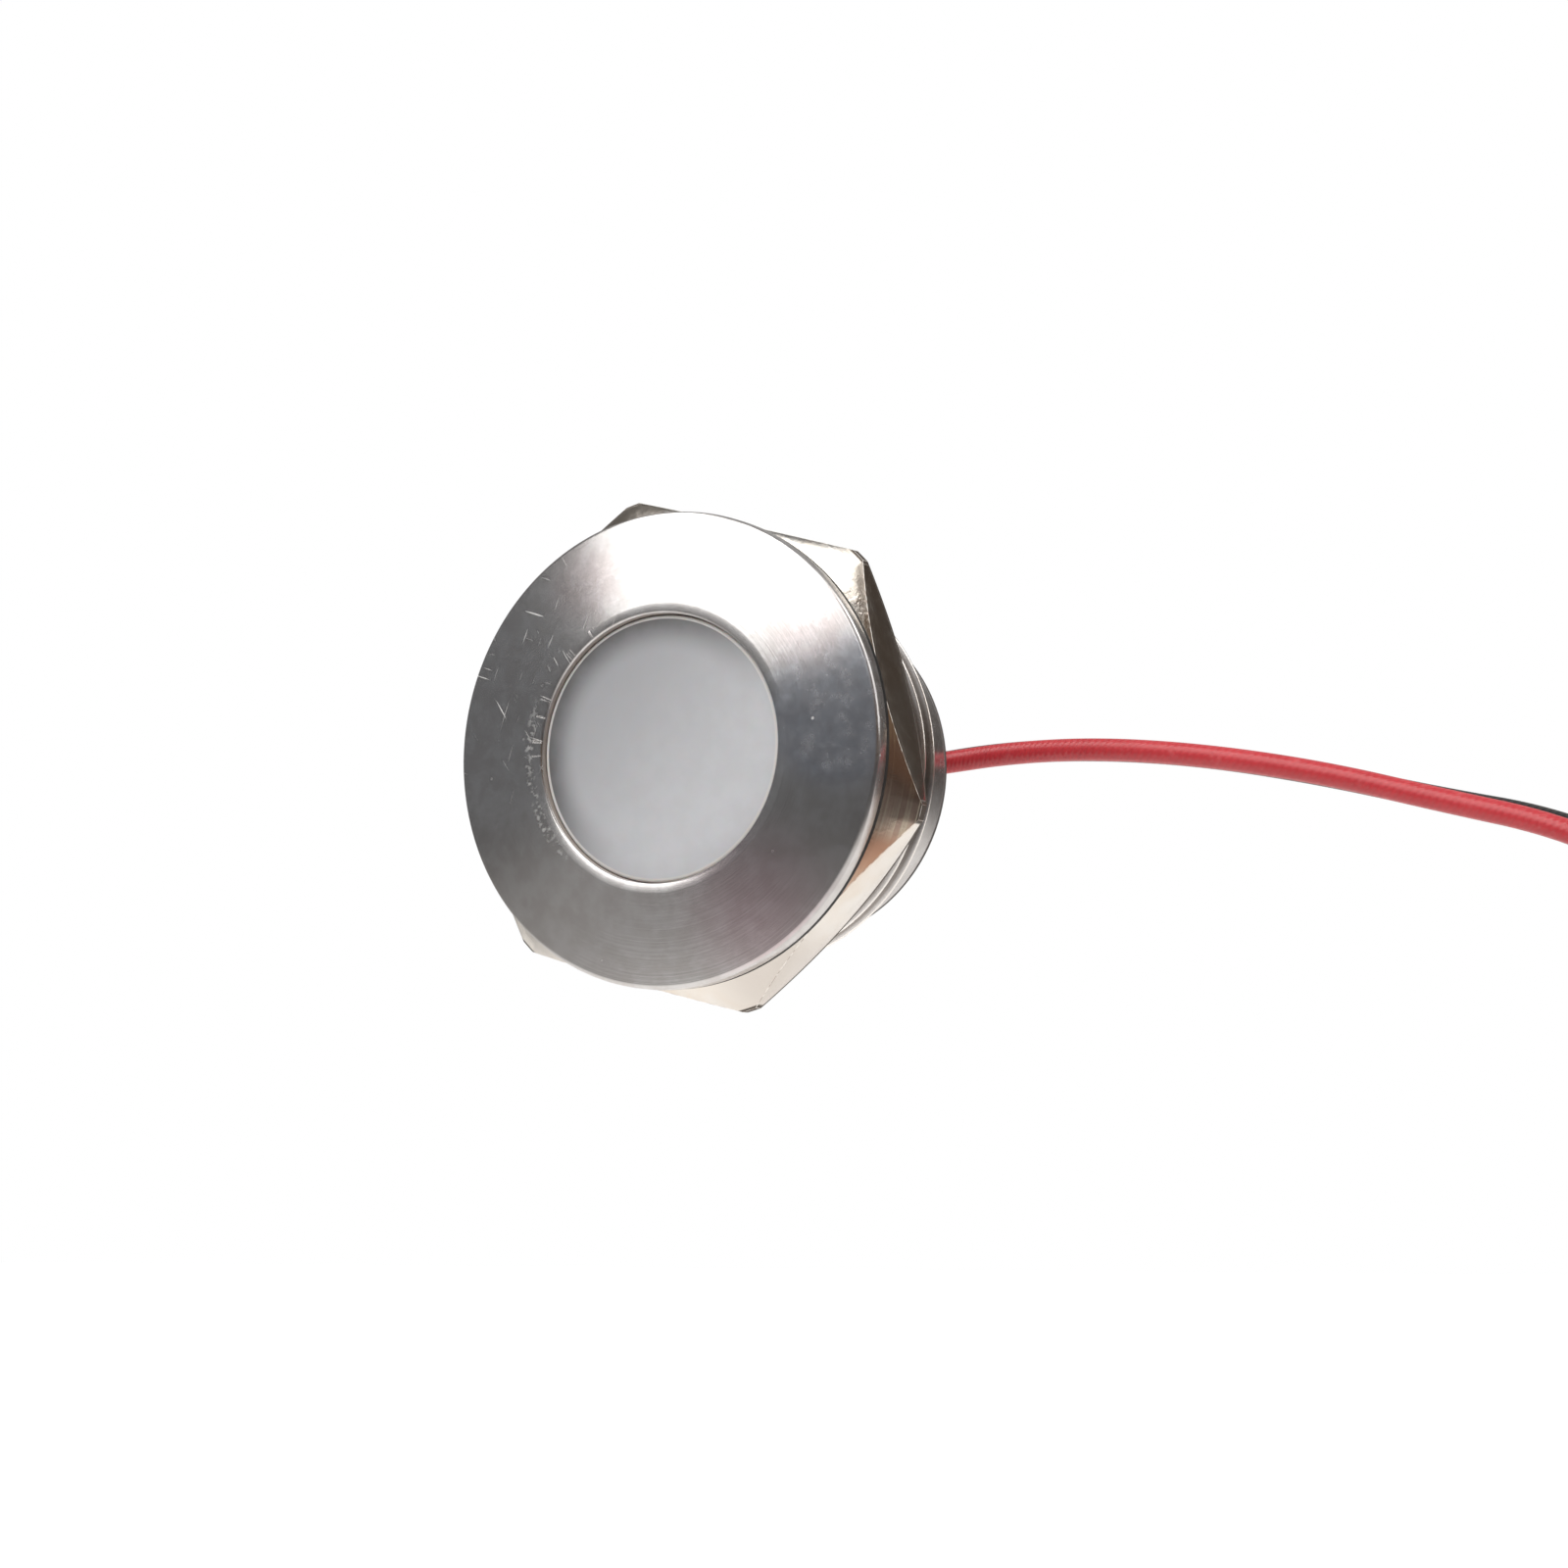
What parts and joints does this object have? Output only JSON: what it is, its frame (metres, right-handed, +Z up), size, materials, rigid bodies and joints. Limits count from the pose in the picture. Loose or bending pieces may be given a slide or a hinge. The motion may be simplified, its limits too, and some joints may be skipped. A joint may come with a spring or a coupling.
{
  "type": "panel pilot light",
  "caption": "Round metal panel pilot light with a wide flat bezel, milky lens, threaded barrel, hexagon panel nut, gasket and two wire leads.",
  "frame": {"origin": "on the light's axis, in the plane that lies against the front of the panel", "axes": "+Y along the light's axis towards the leads, so the lens faces -Y, +Z up, +X to the right as seen from the front"},
  "size_m": [0.0935, 0.0363, 0.1041],
  "materials": {
    "plated_housing": "fine turned, nickel plated",
    "plated_nut": "nickel plated",
    "milky_lens": "milky satin",
    "seal_rubber": "matte",
    "white_plastic": "moulded satin",
    "board": "solder mask",
    "led_body": "moulded with a clear fill",
    "component_body": "moulded",
    "solder": "bright solder",
    "black_plastic": "moulded",
    "red_insulation": "satin extruded",
    "black_insulation": "satin extruded",
    "tinned_wire": "tinned strands"
  },
  "bodies": {
    "housing": {"bezel_housing": "plated_housing", "lens": "milky_lens", "lens_seal": "seal_rubber", "reflector_cup": "white_plastic", "led_board": "board", "led_1": "led_body", "led_2": "led_body", "led_3": "led_body", "led_4": "led_body", "led_5": "led_body", "led_6": "led_body", "resistor_1": "component_body", "resistor_2": "component_body", "polarity_diode": "component_body", "red_solder_joint": "solder", "black_solder_joint": "solder", "board_spacer": "white_plastic", "rear_plug": "black_plastic", "red_lead": "red_insulation", "red_lead_tip": "tinned_wire", "black_lead": "black_insulation", "black_lead_tip": "tinned_wire"},
    "gasket": {"panel_gasket": "seal_rubber"},
    "nut": {"hex_nut": "plated_nut"}
  },
  "joints": [
    {"name": "nut_travel", "type": "slide", "parent": "housing", "child": "gasket", "axis": [0, 1, 0], "range_m": [0, 0.00625]},
    {"name": "nut_turn", "type": "hinge", "parent": "gasket", "child": "nut", "pos_m": [0, 0, 0], "axis": [0, 1, 0], "range_deg": [0, 1500]}
  ],
  "couplings": [
    {"joint": "nut_travel", "follows": "nut_turn", "m_per_rad": 0.00023873}
  ]
}
